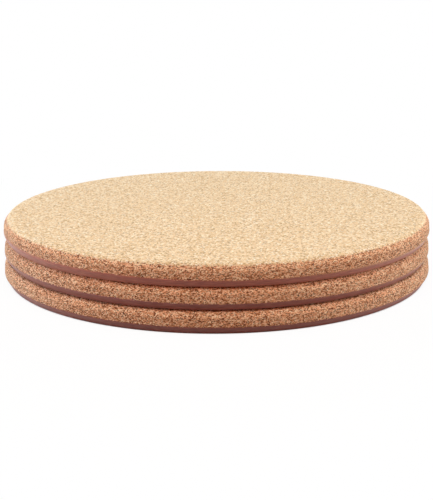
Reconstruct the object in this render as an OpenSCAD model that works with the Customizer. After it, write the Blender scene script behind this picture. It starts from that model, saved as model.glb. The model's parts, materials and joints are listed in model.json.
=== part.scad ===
// A stack of three round cork trivets. Each is one disc of pressed cork granules whose edge is worked all
// round: a bevel under the top face, an upright girth and a steeper bevel over the underside. All four
// arrises are eased.
// Millimetres, +Z up, origin at the centre of the underside of the bottom trivet.

/* [Trivet] */
// Diameter over the girth
trivet_d = 190; // [120:1:300]
// Thickness of one trivet
trivet_t = 9; // [8:0.1:20]

/* [Upper edge] */
// Height of the bevel under the top face
upper_bevel_h = 2.6; // [1:0.1:4]
// How far that bevel leans in
upper_bevel_in = 2.4; // [0.5:0.1:6]
// Radius that eases the two arrises of that bevel
upper_arris_r = 1.7; // [0.2:0.1:3]

/* [Lower edge] */
// Height of the bevel over the underside
lower_bevel_h = 2.9; // [1:0.1:3.5]
// How far that bevel leans in
lower_bevel_in = 1.5; // [0.5:0.1:6]
// Radius that eases the two arrises of that bevel
lower_arris_r = 0.8; // [0.2:0.1:3]

/* [Hidden] */
$fn = 96;

trivet_r = trivet_d / 2;
girth_h = trivet_t - lower_bevel_h - upper_bevel_h;
// Lets the circle of each arris just cross the faces beside it, so that no sliver is left between them
overrun = 0.00001;

// Headings of the edge's outline, from the underside round to the top face
underside_dir = 0;
lower_bevel_dir = atan2(lower_bevel_h, lower_bevel_in);
girth_dir = 90;
upper_bevel_dir = atan2(upper_bevel_h, -upper_bevel_in);
top_face_dir = 180;

// The four arrises of the edge: where each would be sharp, from the foot of the girth, the headings in
// and out, and the radius that eases it
arrises = [
    [[-lower_bevel_in, 0], underside_dir, lower_bevel_dir, lower_arris_r],
    [[0, lower_bevel_h], lower_bevel_dir, girth_dir, lower_arris_r],
    [[0, lower_bevel_h + girth_h], girth_dir, upper_bevel_dir, upper_arris_r],
    [[-upper_bevel_in, trivet_t], upper_bevel_dir, top_face_dir, upper_arris_r],
];

// Two arrises share each face of the edge, so none takes more than half of the shortest
shortest_face = min(norm([lower_bevel_in, lower_bevel_h]), girth_h, norm([upper_bevel_in, upper_bevel_h]));

function heading(angle) = [cos(angle), sin(angle)];
function left_of(angle) = [-sin(angle), cos(angle)];
function turn_share(arris) = tan((arris[2] - arris[1]) / 2);
function eased_r(arris) = min(arris[3], shortest_face / 2 / turn_share(arris));
function setback(arris) = eased_r(arris) * turn_share(arris);
function arc_start(arris) = arris[0] - setback(arris) * heading(arris[1]);
function arc_end(arris) = arris[0] + setback(arris) * heading(arris[2]);
function arc_centre(arris) = arc_start(arris) + eased_r(arris) * left_of(arris[1]);

// Half of the disc's section, from the girth in to the axis
module disc_section() {
    flats = [for (arris = arrises) each [arc_start(arris), arc_end(arris)]];
    polygon(concat([[-trivet_r, 0]], flats, [[-trivet_r, trivet_t]]));
    for (arris = arrises) translate(arc_centre(arris)) circle(r = eased_r(arris) + overrun);
}

module trivet() {
    rotate_extrude() translate([trivet_r, 0]) disc_section();
}

module bottom_trivet() {
    color("BurlyWood") trivet();
}

module middle_trivet() {
    color("BurlyWood") translate([0, 0, trivet_t]) trivet();
}

module top_trivet() {
    color("BurlyWood") translate([0, 0, trivet_t + trivet_t]) trivet();
}

bottom_trivet();
middle_trivet();
top_trivet();
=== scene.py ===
# %% [markdown]
# # A stack of three cork trivets
#
# Each trivet is one disc of pressed cork granules. Its faces are sanded pale, and its edge is worked all
# round: bevelled under the top face, almost upright at the girth and bevelled over the underside. The
# browner inside of the cork shows there. This lesson dresses the imported solids: it sets up the camera and
# the light, models the discs as by hand, gives them the relief of real cork and builds their finish.
#
# First the imported model is loaded. It is a fixed frame: nothing in it is moved, and every new piece is
# placed by its sizes.

# %% Load the frame
import json
import math

import bpy
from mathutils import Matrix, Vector


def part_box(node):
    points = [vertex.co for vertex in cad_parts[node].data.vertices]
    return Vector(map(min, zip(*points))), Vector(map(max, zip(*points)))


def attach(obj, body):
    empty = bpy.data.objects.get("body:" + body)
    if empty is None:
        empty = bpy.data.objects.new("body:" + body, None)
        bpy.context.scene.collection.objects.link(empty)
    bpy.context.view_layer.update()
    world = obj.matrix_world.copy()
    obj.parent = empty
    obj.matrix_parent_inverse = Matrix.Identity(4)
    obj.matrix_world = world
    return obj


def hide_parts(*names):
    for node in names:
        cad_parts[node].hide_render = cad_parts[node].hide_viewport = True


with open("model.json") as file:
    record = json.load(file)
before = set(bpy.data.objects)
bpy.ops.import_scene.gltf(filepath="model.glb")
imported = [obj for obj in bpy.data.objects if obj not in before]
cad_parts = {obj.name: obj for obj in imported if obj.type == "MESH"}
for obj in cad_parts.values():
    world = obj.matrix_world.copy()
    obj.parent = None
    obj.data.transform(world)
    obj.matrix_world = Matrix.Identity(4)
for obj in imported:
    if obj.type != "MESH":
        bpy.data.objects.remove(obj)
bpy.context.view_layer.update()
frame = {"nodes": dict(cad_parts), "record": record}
print("nodes in the frame:", sorted(frame["nodes"]))

# %% [markdown]
# ## Sizes
#
# Blender works in metres, and a maker thinks in millimetres, so every size is written in millimetres times
# MM. The diameter and the thickness come from the frame. The heights of the two bevels, and the radius that
# eases the lower one, are those of the solids.

# %% Sizes that the three trivets share
MM = 0.001
BODIES = ("bottom", "middle", "top")
UPPER_BEVEL_H = 2.6 * MM
LOWER_BEVEL_H = 2.9 * MM
LOWER_ARRIS_R = 0.8 * MM

trivet_r = frame["record"]["size"]["bbox_m"][0] / 2
underside, top_face = (corner.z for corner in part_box("bottom_trivet"))
trivet_t = top_face - underside
print(f"one trivet: {trivet_r / MM:.1f} mm radius, {trivet_t / MM:.1f} mm thick")

# %% [markdown]
# ## Trims
#
# The solids are three like discs, but real ones are trimmed one by one and differ by tenths of a
# millimetre. The lowest is wider, and its upper bevel is steeper and sharper. Sanding makes the rims fall
# away, so a dark line shows where two discs meet. Every girth leans in a little towards its top. On the top
# disc the pale sanding runs on over the arris. On the two lower discs the pale face stops short of the rim,
# so the brown there is painted shade in the crevice under the disc above. On each disc the burnish of the
# lower bevel, with its painted shade, climbs at the left and drops at the right, because the tool was not
# quite level. One table by disc keeps these apart from the sizes that all share.

# %% What sets each disc apart
GIRTH_LEAN = 0.3 * MM
RIM_IN = 4 * MM
# sanded_and_shaded_in: where the pale face stops. On the middle and bottom discs it stops short of the rim,
# as painted shade in the crevice
TRIMS = {
    "bottom": {"girth_extra": 0.4 * MM, "upper_bevel_in": 1.9 * MM, "upper_arris_r": 0.5 * MM,
               "rim_drop": 0.6 * MM, "lower_bevel_in": 1.8 * MM, "rim_lift": 0.05 * MM,
               "sanded_and_shaded_in": 4.0 * MM, "burnish_and_shade_lean": 0.2 * MM},
    "middle": {"girth_extra": 0.0, "upper_bevel_in": 2.4 * MM, "upper_arris_r": 1.6 * MM,
               "rim_drop": 0.3 * MM, "lower_bevel_in": 1.7 * MM, "rim_lift": 0.08 * MM,
               "sanded_and_shaded_in": 3.5 * MM, "burnish_and_shade_lean": 0.5 * MM},
    "top": {"girth_extra": 0.0, "upper_bevel_in": 2.4 * MM, "upper_arris_r": 1.7 * MM,
            "rim_drop": 0.1 * MM, "lower_bevel_in": 1.5 * MM, "rim_lift": 0.05 * MM,
            "sanded_and_shaded_in": 1.75 * MM, "burnish_and_shade_lean": 0.9 * MM},
}
for body in BODIES:
    girth_d = 2 * (trivet_r + TRIMS[body]["girth_extra"])
    print(f"{body}: {girth_d / MM:.1f} mm over the girth")

# %% [markdown]
# ## Camera
#
# The photograph looks down on the stack by a little more than fourteen degrees, from about half a metre.
# The focal length is written in pixels of the photograph, because that is how it was measured, and the lens
# in millimetres follows from it. The stack sits a little above the middle of the frame, which is what the
# shift is for.

# %% Camera at the photograph's viewing angle
IMAGE_W, IMAGE_H = 433, 500
SENSOR = 36.0
FOCAL_PX = 1052
STACK_CENTRE_PX = (216.6, 237.1)
VIEW_DISTANCE = 480 * MM
VIEW_ELEVATION = math.radians(14.19)
VIEW_ROLL = math.radians(-0.27)

stack_centre = Vector((0, 0, trivet_t * len(BODIES) / 2))
back = Vector((0, -math.cos(VIEW_ELEVATION), math.sin(VIEW_ELEVATION)))
bpy.ops.object.select_all(action="DESELECT")
bpy.ops.object.camera_add(location=stack_centre + back * VIEW_DISTANCE)
camera = bpy.context.object
camera.rotation_mode = "ZYX"
camera.rotation_euler = (math.pi / 2 - VIEW_ELEVATION, 0, VIEW_ROLL)
camera.data.sensor_width = SENSOR
camera.data.lens = SENSOR * FOCAL_PX / IMAGE_H
camera.data.shift_x = (IMAGE_W / 2 - STACK_CENTRE_PX[0]) / IMAGE_H
camera.data.shift_y = (STACK_CENTRE_PX[1] - IMAGE_H / 2) / IMAGE_H
camera.data.clip_start = 10 * MM
bpy.context.scene.camera = camera
bpy.context.scene.view_settings.view_transform = "Standard"
print(f"lens {camera.data.lens:.1f} mm")

# %% [markdown]
# ## Small helpers
#
# Colours are written as the hex values that a picture editor shows. Blender's shaders want linear light, so
# one function converts them. Another adds a node, sets it and links it, and it serves shaders and geometry
# alike.

# %% Colours and nodes
WHITE = "FFFFFF"


def linear(hex_colour):
    """An sRGB hex colour as linear RGBA."""
    channels = [int(hex_colour[i:i + 2], 16) / 255 for i in (0, 2, 4)]
    return [c / 12.92 if c <= 0.04045 else ((c + 0.055) / 1.055) ** 2.4 for c in channels] + [1.0]


def add(tree, kind, inputs=None, stops=(), **settings):
    """Adds a node. An input is a value or a socket that feeds it. Stops are a ramp's places and colours."""
    node = tree.nodes.new(kind)
    for name, value in settings.items():
        setattr(node, name, value)
    for socket, value in (inputs or {}).items():
        if isinstance(value, bpy.types.NodeSocket):
            tree.links.new(value, node.inputs[socket])
        else:
            node.inputs[socket].default_value = value
    for i, (place, colour) in enumerate(stops):
        ramp = node.color_ramp.elements
        stop = ramp[i] if i < len(ramp) else ramp.new(place)
        stop.position, stop.color = place, linear(colour)
    return node


def new_material(name):
    """An empty material and its node tree."""
    material = bpy.data.materials.new(name)
    material.use_nodes = True
    material.node_tree.nodes.clear()
    return material, material.node_tree


print("mid grey in linear light:", round(linear("808080")[0], 3))

# %% [markdown]
# ## Floor
#
# The photograph was taken on white. A white sheet under soft lamps comes out grey, and more light would
# bleach the cork. So the floor is a pale sheet, and what the camera sees of it is lifted to white by a glow
# of its own. The glow is least at the foot of the stack, where the sheet keeps its shadow. A gloss sees the
# same floor, with a wider dark foot, so that the burnished bevel doesn't mirror the glow. Light on its way
# to the trivets meets a plain grey sheet, and so the lamps light them, not the glow.

# %% What counts as seen, and where the stack stands
def seen_directly(tree):
    """A socket that is 1 for what is seen, also in a gloss or through glass, and 0 for light on its way."""
    ray = add(tree, "ShaderNodeLightPath").outputs
    seen = add(tree, "ShaderNodeMath", {0: ray["Is Camera Ray"], 1: ray["Is Glossy Ray"]}, operation="ADD")
    seen = add(tree, "ShaderNodeMath", {0: seen.outputs[0], 1: ray["Is Transmission Ray"]}, operation="ADD")
    return seen.outputs[0]


contact_r = trivet_r + TRIMS["bottom"]["girth_extra"] - TRIMS["bottom"]["lower_bevel_in"]
print(f"the stack meets the floor {contact_r / MM:.1f} mm from its axis")

# %% White paper
FOOT = 0.2 * MM
GLOSS_FOOT = 12 * MM
NEAR = 150 * MM
NEAR_GLOW_SHARE = 0.93
FLOOR_BOUNCE = "868686"

# Matt white paper: even and without a highlight, so only the shadow at the foot shows on it
paper, tree = new_material("white_paper")
position = add(tree, "ShaderNodeTexCoord").outputs["Object"]
away = add(tree, "ShaderNodeVectorMath", {0: position}, operation="LENGTH").outputs["Value"]
to_camera = add(tree, "ShaderNodeLightPath").outputs["Is Camera Ray"]
foot_end = add(tree, "ShaderNodeMapRange", {
    "Value": to_camera, "To Min": contact_r + GLOSS_FOOT, "To Max": contact_r + FOOT})
foot = add(tree, "ShaderNodeMapRange", {
    "Value": away, "From Min": contact_r, "From Max": foot_end.outputs[0], "To Max": NEAR_GLOW_SHARE})
far = add(tree, "ShaderNodeMapRange", {
    "Value": away, "From Min": contact_r, "From Max": contact_r + NEAR, "To Max": 1 - NEAR_GLOW_SHARE})
share = add(tree, "ShaderNodeMath", {0: foot.outputs[0], 1: far.outputs[0]}, operation="ADD")
sheet = add(tree, "ShaderNodeBsdfDiffuse", {"Color": linear(WHITE)})
glow = add(tree, "ShaderNodeEmission", {"Color": linear(WHITE), "Strength": 1.0})
lifted = add(tree, "ShaderNodeMixShader", {0: share.outputs[0], 1: sheet.outputs[0], 2: glow.outputs[0]})
bounce = add(tree, "ShaderNodeBsdfDiffuse", {"Color": linear(FLOOR_BOUNCE)})
surface = add(tree, "ShaderNodeMixShader", {
    0: seen_directly(tree), 1: bounce.outputs[0], 2: lifted.outputs[0]})
add(tree, "ShaderNodeOutputMaterial", {"Surface": surface.outputs[0]})
print(f"the floor glows at {NEAR_GLOW_SHARE:.0%} of white {FOOT / MM:.1f} mm from the stack")

# %% Floor
FLOOR_SIZE = 6000 * MM
FLOOR_GAP = 0.05 * MM

bpy.ops.object.select_all(action="DESELECT")
bpy.ops.mesh.primitive_plane_add(size=FLOOR_SIZE, location=(0, 0, underside - FLOOR_GAP))
floor = bpy.context.object
floor.name = "floor"
floor.data.materials.append(paper)
print(f"floor {FLOOR_GAP / MM:.2f} mm under the stack")

# %% [markdown]
# ## Background
#
# Past the floor there is a white wall, far away. A world colour stands for it, seen by the camera and in a
# gloss. It gives the trivets no light either, so that the lamps alone shape them.

# %% Background
world = bpy.data.worlds.new("studio")
bpy.context.scene.world = world
world.use_nodes = True
tree = world.node_tree
tree.nodes.clear()
sky = add(tree, "ShaderNodeBackground", {"Color": linear(WHITE), "Strength": seen_directly(tree)})
add(tree, "ShaderNodeOutputWorld", {"Surface": sky.outputs[0]})
print("background white to the camera")

# %% [markdown]
# ## Lamps
#
# The stack tells where the light was. Its edge is brighter at the left and the right than in front, so two
# softboxes stand at the sides. The upper bevels and the face are bright and the lower bevels dark, so a
# strong, narrow one hangs above the camera and a weaker one straight above the stack. A warm fill in front
# keeps the girth from going dull, and a weak one behind lights the back. Places and sizes are in metres. A
# lamp is given by its brightness, where 1 is as bright as white paper, and its power in watts follows from
# that and its area.

# %% Softboxes
SOFTBOXES = {
    "left": {"at": (-0.82, 0.145, 0.175), "size": (1.0, 0.3), "brightness": 7.6, "colour": "EDF4FF"},
    "right": {"at": (0.82, 0.145, 0.175), "size": (1.0, 0.3), "brightness": 6.1, "colour": WHITE},
    "front": {"at": (0, -0.48, 0.877), "size": (0.7, 0.16), "brightness": 13.4, "colour": "FEFFF8"},
    "above": {"at": (0, 0, 1), "size": (0.7, 0.35), "brightness": 2.6, "colour": WHITE},
    "fill": {"at": (0, -0.82, 0.57), "size": (0.7, 0.35), "brightness": 2.65, "colour": "FF9868"},
    "behind": {"at": (0, 0.9, 0.2), "size": (1.2, 0.4), "brightness": 2.6, "colour": WHITE},
}
for name, box in SOFTBOXES.items():
    place = Vector(box["at"])
    aim = (stack_centre - place).to_track_quat("-Z", "Y").to_euler()
    bpy.ops.object.light_add(type="AREA", location=place, rotation=aim)
    lamp = bpy.context.object
    lamp.name = f"softbox_{name}"
    lamp.visible_camera = False
    lamp.data.shape = "RECTANGLE"
    lamp.data.size, lamp.data.size_y = box["size"]
    lamp.data.energy = math.pi * box["brightness"] * lamp.data.size * lamp.data.size_y
    lamp.data.color = linear(box["colour"])[:3]
    print(f"{lamp.name}: {lamp.data.energy:.2f} W")

# %% [markdown]
# ## Picking by place
#
# By hand, a maker in Blender clicks the faces and edges to work on. A script picks them by where they lie.
# The caps and rims of a disc are level, so a height is enough to find them.

# %% Pick faces and edges
LEVEL = 0.005 * MM


def select_where(mesh, kind, chosen):
    """Selects the faces or edges whose corners pass a test, in edit mode, and says how many."""
    bpy.ops.mesh.select_mode(type=kind)
    bpy.ops.mesh.select_all(action="DESELECT")
    bpy.ops.object.mode_set(mode="OBJECT")
    parts = mesh.polygons if kind == "FACE" else mesh.edges
    for part in parts:
        part.select = chosen([mesh.vertices[v].co for v in part.vertices])
    count = sum(part.select for part in parts)
    bpy.ops.object.mode_set(mode="EDIT")
    return count


def level(*heights):
    """A test for corners that all lie at one of some heights."""
    return lambda corners: any(max(abs(c.z - height) for c in corners) < LEVEL for height in heights)


print(f"heights are told apart to {LEVEL / MM:.3f} mm")

# %% [markdown]
# ## One disc, modelled as by hand
#
# The disc starts as a slightly tapered cone, as high as the girth. Its top cap is extruded up and drawn in
# for the upper bevel, and once more for the rim that the sanding took down. Its bottom cap goes down and in
# for the lower bevel and its rim. Then the arrises are eased with a bevel of a few segments. A turned
# outline would give the same shape, but this follows the maker, who cuts a plain disc and then works its
# edge.

# %% Work the edge
RIM_STEPS = 1200
ARRIS_STEPS = 4
# What a bevel takes off each face for an arris of radius 1, where the outline turns by 45 degrees
SETBACK_SHARE = math.tan(math.pi / 8)


def plain_disc(name, low, low_r, high, high_r):
    """A disc between two heights, with a radius at each and its place in its mesh."""
    bpy.ops.object.select_all(action="DESELECT")
    bpy.ops.mesh.primitive_cone_add(
        vertices=RIM_STEPS, radius1=low_r, radius2=high_r, depth=high - low,
        location=(0, 0, (low + high) / 2))
    disc = bpy.context.object
    disc.name = name
    bpy.ops.object.transform_apply(location=True, rotation=True, scale=True)
    return disc


def draw_in(mesh, cap, cap_r, to, to_r):
    """Extrudes the cap at one height to another, and scales it from one radius to another."""
    select_where(mesh, "FACE", level(cap))
    bpy.ops.mesh.extrude_region_move(TRANSFORM_OT_translate={"value": (0, 0, to - cap)})
    bpy.ops.transform.resize(value=(to_r / cap_r, to_r / cap_r, 1), center_override=(0, 0, to))


def ease(mesh, rims, arris_r):
    """Rounds the rims that pass a test to a radius."""
    select_where(mesh, "EDGE", rims)
    bpy.ops.mesh.bevel(offset=arris_r * SETBACK_SHARE, segments=ARRIS_STEPS)


print(f"rims of {RIM_STEPS} steps, arrises of {ARRIS_STEPS}")

# %% [markdown]
# ## A net for the granules
#
# The granules need a fine net to be sunk into. Long edges are halved until the worked edge is fine enough.
# The sanded faces hold no relief, so each stays one flat polygon and costs next to nothing. The edge is
# shaded smooth and the flat faces flat, so that no false shade runs over them.

# %% Shape a disc
NET = 0.55 * MM


def coarse(corners):
    """A test for an edge that is too long for the net."""
    return (corners[0] - corners[1]).length > NET


def refine(mesh):
    """Halves the long edges until none is left."""
    while select_where(mesh, "EDGE", coarse):
        bpy.ops.mesh.subdivide(number_cuts=1)


def shade(mesh, flats):
    """Shades a mesh smooth, apart from the faces that pass a test."""
    bpy.ops.mesh.select_mode(type="FACE")
    bpy.ops.mesh.select_all(action="SELECT")
    bpy.ops.mesh.faces_shade_smooth()
    select_where(mesh, "FACE", flats)
    bpy.ops.mesh.faces_shade_flat()


def shape_disc(name, base, body):
    """One trivet with its underside at the height base, its place in its mesh."""
    trim = TRIMS[body]
    face = base + trivet_t
    foot, low = base + trim["rim_lift"], base + LOWER_BEVEL_H
    high, rim = face - UPPER_BEVEL_H, face - trim["rim_drop"]
    low_r = trivet_r + trim["girth_extra"]
    high_r = low_r - GIRTH_LEAN
    rim_r = low_r - trim["upper_bevel_in"]
    foot_r = low_r - trim["lower_bevel_in"]
    disc = plain_disc(name, low, low_r, high, high_r)
    bpy.ops.object.mode_set(mode="EDIT")
    draw_in(disc.data, high, high_r, rim, rim_r)
    draw_in(disc.data, rim, rim_r, face, rim_r - RIM_IN)
    draw_in(disc.data, low, low_r, foot, foot_r)
    draw_in(disc.data, foot, foot_r, base, foot_r - RIM_IN)
    ease(disc.data, level(high, rim), trim["upper_arris_r"])
    ease(disc.data, level(foot, low), LOWER_ARRIS_R)
    refine(disc.data)
    shade(disc.data, level(base, face))
    bpy.ops.object.mode_set(mode="OBJECT")
    return disc


print(f"no edge of the net longer than {NET / MM:.2f} mm")

# %% [markdown]
# ## Places on the edge
#
# The finish changes over the edge, so both the relief and the colour need to know where they are. Three
# masks say it, from nothing but the place: the edge against the pale faces, the smooth lower bevel against
# the torn cork above it, and the burnish on that bevel, whose mauve is partly painted shade. On the two lower
# discs the edge runs in under the disc above as painted shade. Painting the mesh by hand would do too, but
# masks from sizes stay crisp however fine the net is. A granule is cut or left whole, so the lines where
# finishes meet are a little ragged: the caller says by how much at each point.

# %% Masks by place
SOFT = 0.15 * MM
DROP_HEIGHT = (1, 1, 0)


def edge_masks(tree, position, base, body, ragged):
    """Sockets from 0 to 1 for the edge, the bevel and the burnish with its painted shade, for the disc at
    base.
    """
    trim = TRIMS[body]
    girth_r = trivet_r + trim["girth_extra"]
    flat = add(tree, "ShaderNodeVectorMath", {0: position, 1: DROP_HEIGHT}, operation="MULTIPLY")
    radius = add(tree, "ShaderNodeVectorMath", {0: flat.outputs[0]}, operation="LENGTH").outputs["Value"]
    radius = add(tree, "ShaderNodeMath", {0: radius, 1: ragged}, operation="ADD").outputs[0]
    axes = add(tree, "ShaderNodeSeparateXYZ", {0: position}).outputs
    height = add(tree, "ShaderNodeMath", {0: axes["Z"], 1: base}, operation="SUBTRACT").outputs[0]
    upper = add(tree, "ShaderNodeMath", {0: height, 1: trivet_t / 2}, operation="GREATER_THAN").outputs[0]
    # On the two lower discs the pale face stops short of the rim, so the brown paints shade into the crevice
    face_r = add(tree, "ShaderNodeMapRange", {
        "Value": upper, "To Min": girth_r - trim["lower_bevel_in"] - RIM_IN,
        "To Max": girth_r - trim["sanded_and_shaded_in"]})
    past = add(tree, "ShaderNodeMath", {0: radius, 1: face_r.outputs[0]}, operation="SUBTRACT")
    edge = add(tree, "ShaderNodeMapRange", {"Value": past.outputs[0], "From Min": -SOFT, "From Max": SOFT})
    height = add(tree, "ShaderNodeMath", {0: height, 1: ragged}, operation="ADD").outputs[0]
    bevel = add(tree, "ShaderNodeMapRange", {
        "Value": height, "From Min": LOWER_BEVEL_H + SOFT, "From Max": LOWER_BEVEL_H - SOFT})
    climb = add(tree, "ShaderNodeMath", {
        0: axes["X"], 1: trim["burnish_and_shade_lean"] / trivet_r, 2: height}, operation="MULTIPLY_ADD")
    burnish_and_shade = add(tree, "ShaderNodeMapRange", {
        "Value": climb.outputs[0], "From Min": LOWER_BEVEL_H + SOFT, "From Max": LOWER_BEVEL_H - SOFT})
    return edge.outputs[0], bevel.outputs[0], burnish_and_shade.outputs[0]


print(f"finishes meet within {2 * SOFT / MM:.1f} mm")

# %% [markdown]
# ## Granules
#
# Pressed cork is a pack of granules, flattened by the press. Three-dimensional Voronoi cells stand for
# them, as if the disc were cut from a block, so the pattern runs over the faces and the edge alike. A
# little noise makes their outlines wavy.

# %% Granules that the relief and the finish share
FLAT_SHARE = 0.55
WOBBLE_SHARE = 0.4
NOISE_MEAN = (0.5, 0.5, 0.5)


def granule_cells(tree, position, width, height_share=FLAT_SHARE):
    """Voronoi cells of one width, pressed flat, with wavy outlines. Colour is random for each cell."""
    noise = add(tree, "ShaderNodeTexNoise", {"Vector": position, "Scale": 1 / width, "Detail": 1.0})
    wave = add(tree, "ShaderNodeVectorMath", {0: noise.outputs["Color"], 1: NOISE_MEAN}, operation="SUBTRACT")
    wave = add(tree, "ShaderNodeVectorMath", {
        0: wave.outputs[0], "Scale": width * WOBBLE_SHARE}, operation="SCALE")
    place = add(tree, "ShaderNodeVectorMath", {0: position, 1: wave.outputs[0]}, operation="ADD")
    place = add(tree, "ShaderNodeVectorMath", {
        0: place.outputs[0], 1: (1, 1, 1 / height_share)}, operation="MULTIPLY")
    return add(tree, "ShaderNodeTexVoronoi", {"Vector": place.outputs[0], "Scale": 1 / width})


print(f"a granule is {FLAT_SHARE} as high as it is wide")

# %% [markdown]
# ## Pits
#
# Where pressed cork is cut, granules come away in lumps. Most lumps stand a little proud or lie a little
# low, and a few are torn out and leave a pit. The relief and the colour both need to find the pits, so one
# function does it for both.

# %% Lumps, and which of them are torn out
LUMP = 1.6 * MM
LUMP_HEIGHT_SHARE = 1
PIT_SHARE = 0.06


def torn_lumps(tree, position):
    """Sockets for a lump's own random number, whether it is torn out, and how far its middle is."""
    lumps = granule_cells(tree, position, LUMP, LUMP_HEIGHT_SHARE)
    chance = add(tree, "ShaderNodeSeparateXYZ", {0: lumps.outputs["Color"]}).outputs
    torn = add(tree, "ShaderNodeMath", {0: chance["Y"], 1: PIT_SHARE}, operation="LESS_THAN")
    return chance["X"], torn.outputs[0], lumps.outputs["Distance"]


print(f"one lump in {1 / PIT_SHARE:.0f} is torn out")

# %% [markdown]
# ## Relief
#
# A geometry node tree sinks the net of the worked edge by the lumps, and deeper in the pits. A bump in the
# material alone would leave the outline smooth. It only ever sinks, so that the discs still lie flat on
# each other. The sanded faces stay level, and the smooth lower bevel hardly moves.

# %% Sink the net into lumps and pits
PIT_DEPTH = 0.4 * MM
# Distance from the middle of a pit to its rim, where a lump is 1 wide
PIT_RIM = 0.5
EDGE_STEP = 0.08 * MM
BEVEL_STEP = 0.01 * MM


def relief_tree(base, body):
    """Geometry nodes that sink a disc's worked edge by its lumps."""
    tree = bpy.data.node_groups.new("cork_relief", "GeometryNodeTree")
    tree.interface.new_socket("Geometry", in_out="INPUT", socket_type="NodeSocketGeometry")
    tree.interface.new_socket("Geometry", in_out="OUTPUT", socket_type="NodeSocketGeometry")
    net = add(tree, "NodeGroupInput").outputs["Geometry"]
    position = add(tree, "GeometryNodeInputPosition").outputs[0]
    normal = add(tree, "GeometryNodeInputNormal").outputs[0]
    chance, torn, from_middle = torn_lumps(tree, position)
    edge, bevel, _ = edge_masks(tree, position, base, body, 0.0)
    step = add(tree, "ShaderNodeMapRange", {"Value": bevel, "To Min": EDGE_STEP, "To Max": BEVEL_STEP})
    low = add(tree, "ShaderNodeMath", {0: chance, 1: step.outputs[0]}, operation="MULTIPLY")
    hollow = add(tree, "ShaderNodeMapRange", {
        "Value": from_middle, "From Max": PIT_RIM, "To Min": PIT_DEPTH, "To Max": 0.0})
    pit = add(tree, "ShaderNodeMath", {0: torn, 1: hollow.outputs[0]}, operation="MULTIPLY")
    above_bevel = add(tree, "ShaderNodeMapRange", {"Value": bevel, "To Min": 1.0, "To Max": 0.0})
    sunk = add(tree, "ShaderNodeMath", {
        0: pit.outputs[0], 1: above_bevel.outputs[0], 2: low.outputs[0]}, operation="MULTIPLY_ADD")
    inward = add(tree, "ShaderNodeMapRange", {"Value": edge, "To Max": -1.0})
    sunk = add(tree, "ShaderNodeMath", {0: sunk.outputs[0], 1: inward.outputs[0]}, operation="MULTIPLY")
    offset = add(tree, "ShaderNodeVectorMath", {0: normal, "Scale": sunk.outputs[0]}, operation="SCALE")
    moved = add(tree, "GeometryNodeSetPosition", {"Geometry": net, "Offset": offset.outputs[0]})
    add(tree, "NodeGroupOutput", {"Geometry": moved.outputs[0]})
    return tree


def add_relief(disc, base, body):
    """Sinks a disc's edge into lumps and pits."""
    relief = disc.modifiers.new("granules", "NODES")
    relief.node_group = relief_tree(base, body)
    bpy.context.view_layer.objects.active = disc
    bpy.ops.object.modifier_apply(modifier=relief.name)


print(f"the edge sinks by up to {(EDGE_STEP + PIT_DEPTH) / MM:.2f} mm")

# %% [markdown]
# ## Light and dark granules
#
# Each granule has a tone of its own, from dark bark to light cork, and finer flecks lie in it. The tone is
# one number, so that one ramp of colours can turn it into the pale of the sanded face and another into the
# brown of the cut edge. Sanding smears the granules a little wider.

# %% Tone of the granules
GRANULE = 0.5 * MM
SANDED_GRANULE = 0.62 * MM
FLECK = 0.35 * MM
FLECK_SHARE = 0.25
# The noise seldom leaves this range, so it is stretched to go from 0 to 1
NOISE_LOW, NOISE_HIGH = 0.3, 0.7


def fleck_tone(tree, position):
    """A socket from 0 to 1 for the flecks in the granules."""
    noise = add(tree, "ShaderNodeTexNoise", {"Vector": position, "Scale": 1 / FLECK, "Detail": 1.0})
    fleck = add(tree, "ShaderNodeMapRange", {
        "Value": noise.outputs["Fac"], "From Min": NOISE_LOW, "From Max": NOISE_HIGH})
    return fleck.outputs[0]


def granule_tone(tree, cells, fleck):
    """A socket from 0 to 1 for how light a granule is, flecks and all."""
    chance = add(tree, "ShaderNodeSeparateXYZ", {0: cells.outputs["Color"]}).outputs
    return add(tree, "ShaderNodeMix", {"Factor": FLECK_SHARE, "A": chance["X"], "B": fleck}).outputs[0]


print(f"granules {GRANULE / MM:.2f} mm wide, {SANDED_GRANULE / MM:.2f} mm where they are sanded")

# %% [markdown]
# ## Painted shade in pits, and burnished streaks
#
# A pit is painted dark in its depth, for the shade that falls there. The lower bevel was cut smooth by a hot
# tool, which left a burnish with fine streaks along the cut. Its mauve-brown is partly the burnish and partly
# painted shade, because the bevel faces down. Noise that is stretched in the plane of the disc gives such
# streaks all round. The middle and bottom bevels are painted darker as shade, so the top one is the lightest.

# %% Pits and burnish
# Distances from the middle of a pit, where a lump is 1 wide: dark up to the first, gone at the second
PIT_DARK_R = 0.12
PIT_GONE_R = 0.3
STREAK = 0.35 * MM
STREAK_LENGTH = 10
# Mauve of the lower bevel: partly burnish, partly painted shade, and painted darker on the two lower discs
BURNISH_AND_SHADE_RAMPS = {
    "bottom": ((0.3, "88453A"), (0.5, "995244"), (0.7, "A95F50")),
    "middle": ((0.3, "884B41"), (0.5, "9A584F"), (0.7, "AB6761")),
    "top": ((0.3, "A25744"), (0.5, "B56650"), (0.7, "C87861")),
}


def pit_shade_mask(tree, position):
    """A socket that is 1 in the depth of a pit, where shade is painted, and 0 outside it."""
    _, torn, from_middle = torn_lumps(tree, position)
    deep = add(tree, "ShaderNodeMapRange", {
        "Value": from_middle, "From Min": PIT_DARK_R, "From Max": PIT_GONE_R, "To Min": 1.0, "To Max": 0.0})
    return add(tree, "ShaderNodeMath", {0: deep.outputs[0], 1: torn}, operation="MULTIPLY").outputs[0]


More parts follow.
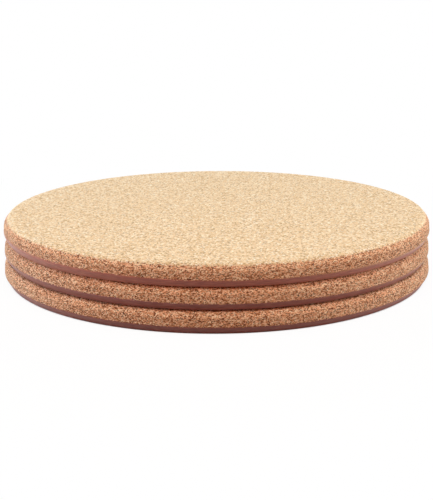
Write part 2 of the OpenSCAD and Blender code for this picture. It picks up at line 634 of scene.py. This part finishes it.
def burnish_and_shade_colour(tree, position, body):
    """A socket with the colour of the lower bevel, partly burnish and partly painted shade."""
    along = add(tree, "ShaderNodeMapping", {0: position, "Scale": (1 / STREAK_LENGTH, 1 / STREAK_LENGTH, 1)})
    streak = add(tree, "ShaderNodeTexNoise", {"Vector": along.outputs[0], "Scale": 1 / STREAK, "Detail": 2.0})
    mauve = add(tree, "ShaderNodeValToRGB", {"Fac": streak.outputs["Fac"]}, stops=BURNISH_AND_SHADE_RAMPS[body])
    return mauve.outputs["Color"]


print(f"streaks {STREAK / MM:.2f} mm high and {STREAK_LENGTH} times as long")

# %% [markdown]
# ## The finish of pressed cork
#
# One material holds the three finishes, because they are one piece of cork, and the masks choose by place.
# The sanded faces are pale cream with tan granules. The cut edge shows the granules in brown, with light
# flecks, and its pits are painted dark for their shade. The lower bevel is smooth and burnished, and its
# mauve-brown is partly painted shade.

# %% Colour by place
RAGGED = 0.3 * MM
SMOOTH_TONE = 0.4
FACE_RAMP = ((0.1, "A8885F"), (0.35, "E4C596"), (0.65, "F0D6AA"), (0.9, "FFFAE8"))
EDGE_RAMP = ((0.15, "561E00"), (0.38, "C8895C"), (0.62, "EEB186"), (0.85, "FFE6C0"))
# Painted shade in the depth of a pit
PIT_SHADE_BROWN = "44261A"


def ragged_masks(tree, position, base, body, cells):
    """Sockets for the edge, the smooth cut and the burnish with painted shade, with lines that jump granule
    to granule.
    """
    chance = add(tree, "ShaderNodeSeparateXYZ", {0: cells.outputs["Color"]}).outputs
    ragged = add(tree, "ShaderNodeMapRange", {"Value": chance["Z"], "To Min": -RAGGED, "To Max": RAGGED})
    edge, bevel, burnish_and_shade = edge_masks(tree, position, base, body, ragged.outputs[0])
    smooth = add(tree, "ShaderNodeMath", {0: bevel, 1: burnish_and_shade}, operation="MAXIMUM").outputs[0]
    return edge, smooth, burnish_and_shade


def edge_colour(tree, position, body, cut_tone, smooth, burnish_and_shade):
    """A socket with the worked edge's colour: torn cork, painted shade in its pits, the burnish with painted
    shade.
    """
    tone = add(tree, "ShaderNodeMix", {"Factor": smooth, "A": cut_tone, "B": SMOOTH_TONE}).outputs[0]
    colour = add(tree, "ShaderNodeValToRGB", {"Fac": tone}, stops=EDGE_RAMP).outputs["Color"]
    # Painted shade in the pits, then the burnish with its painted shade
    layers = (
        (pit_shade_mask(tree, position), linear(PIT_SHADE_BROWN)),
        (burnish_and_shade, burnish_and_shade_colour(tree, position, body)),
    )
    for share, layer in layers:
        mix = add(tree, "ShaderNodeMix", {"Factor": share, "A": colour, "B": layer}, data_type="RGBA")
        colour = mix.outputs["Result"]
    return colour


print(f"lines between the finishes wander by {RAGGED / MM:.1f} mm")

# %% [markdown]
# ## Gloss and grain
#
# Cut cork scatters light, so its roughness is close to 1. The hot tool closed the cells of the lower bevel,
# which gives it a soft sheen. The grain is finer than the net, so a bump from the granules adds it to the
# relief: light granules stand up as small domes. It dies out on the sanded faces and almost does on the
# smooth bevel.

# %% Cork material
MATT, BURNISHED = 0.95, 0.33
SMOOTH_GRAIN_SHARE = 0.05
GRAIN_RELIEF = 0.18 * MM
DOME_SHARE = 0.8


# Pressed cork, sanded, torn or burnished. To the eye it is matt, warm and speckled light and dark, and only
# the burnish has a soft highlight
def cork_material(name, base, body):
    """Pressed cork for the disc whose underside is at the height base."""
    material, tree = new_material(name)
    position = add(tree, "ShaderNodeTexCoord").outputs["Object"]
    fleck = fleck_tone(tree, position)
    face_tone = granule_tone(tree, granule_cells(tree, position, SANDED_GRANULE), fleck)
    cells = granule_cells(tree, position, GRANULE)
    cut_tone = granule_tone(tree, cells, fleck)
    edge, smooth, burnish_and_shade = ragged_masks(tree, position, base, body, cells)

    sanded = add(tree, "ShaderNodeValToRGB", {"Fac": face_tone}, stops=FACE_RAMP).outputs["Color"]
    worked = edge_colour(tree, position, body, cut_tone, smooth, burnish_and_shade)
    colour = add(tree, "ShaderNodeMix", {"Factor": edge, "A": sanded, "B": worked}, data_type="RGBA")

    sheen = add(tree, "ShaderNodeMath", {0: edge, 1: smooth}, operation="MULTIPLY").outputs[0]
    rough = add(tree, "ShaderNodeMapRange", {"Value": sheen, "To Min": MATT, "To Max": BURNISHED})
    grain = add(tree, "ShaderNodeMapRange", {"Value": sheen, "To Min": 1.0, "To Max": SMOOTH_GRAIN_SHARE})
    dome = add(tree, "ShaderNodeMath", {
        0: cells.outputs["Distance"], 1: -DOME_SHARE, 2: cut_tone}, operation="MULTIPLY_ADD")
    dome = add(tree, "ShaderNodeMath", {0: dome.outputs[0], 1: edge}, operation="MULTIPLY")
    height = add(tree, "ShaderNodeMath", {0: dome.outputs[0], 1: grain.outputs[0]}, operation="MULTIPLY")
    bump = add(tree, "ShaderNodeBump", {"Height": height.outputs[0], "Distance": GRAIN_RELIEF})
    cork = add(tree, "ShaderNodeBsdfPrincipled", {
        "Base Color": colour.outputs["Result"], "Roughness": rough.outputs[0], "Specular IOR Level": 0.5,
        "Normal": bump.outputs[0]})
    add(tree, "ShaderNodeOutputMaterial", {"Surface": cork.outputs[0]})
    return material


print(f"roughness {MATT} where the cork is torn or sanded, {BURNISHED} where it is burnished")

# %% [markdown]
# ## Three trivets in a stack
#
# The three are modelled alike, each with its trims and at its own height, so each is cut from another layer
# of the granules. Each rides on its own body, and the solid that it stands for is hidden.

# %% Make the stack
for body in BODIES:
    node = f"{body}_trivet"
    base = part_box(node)[0].z
    disc = shape_disc(f"cork_{node}", base, body)
    add_relief(disc, base, body)
    disc.data.materials.clear()
    disc.data.materials.append(cork_material(f"pressed_cork_{body}", base, body))
    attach(disc, body)
    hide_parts(node)
    print(f"{disc.name}: {len(disc.data.polygons)} faces")
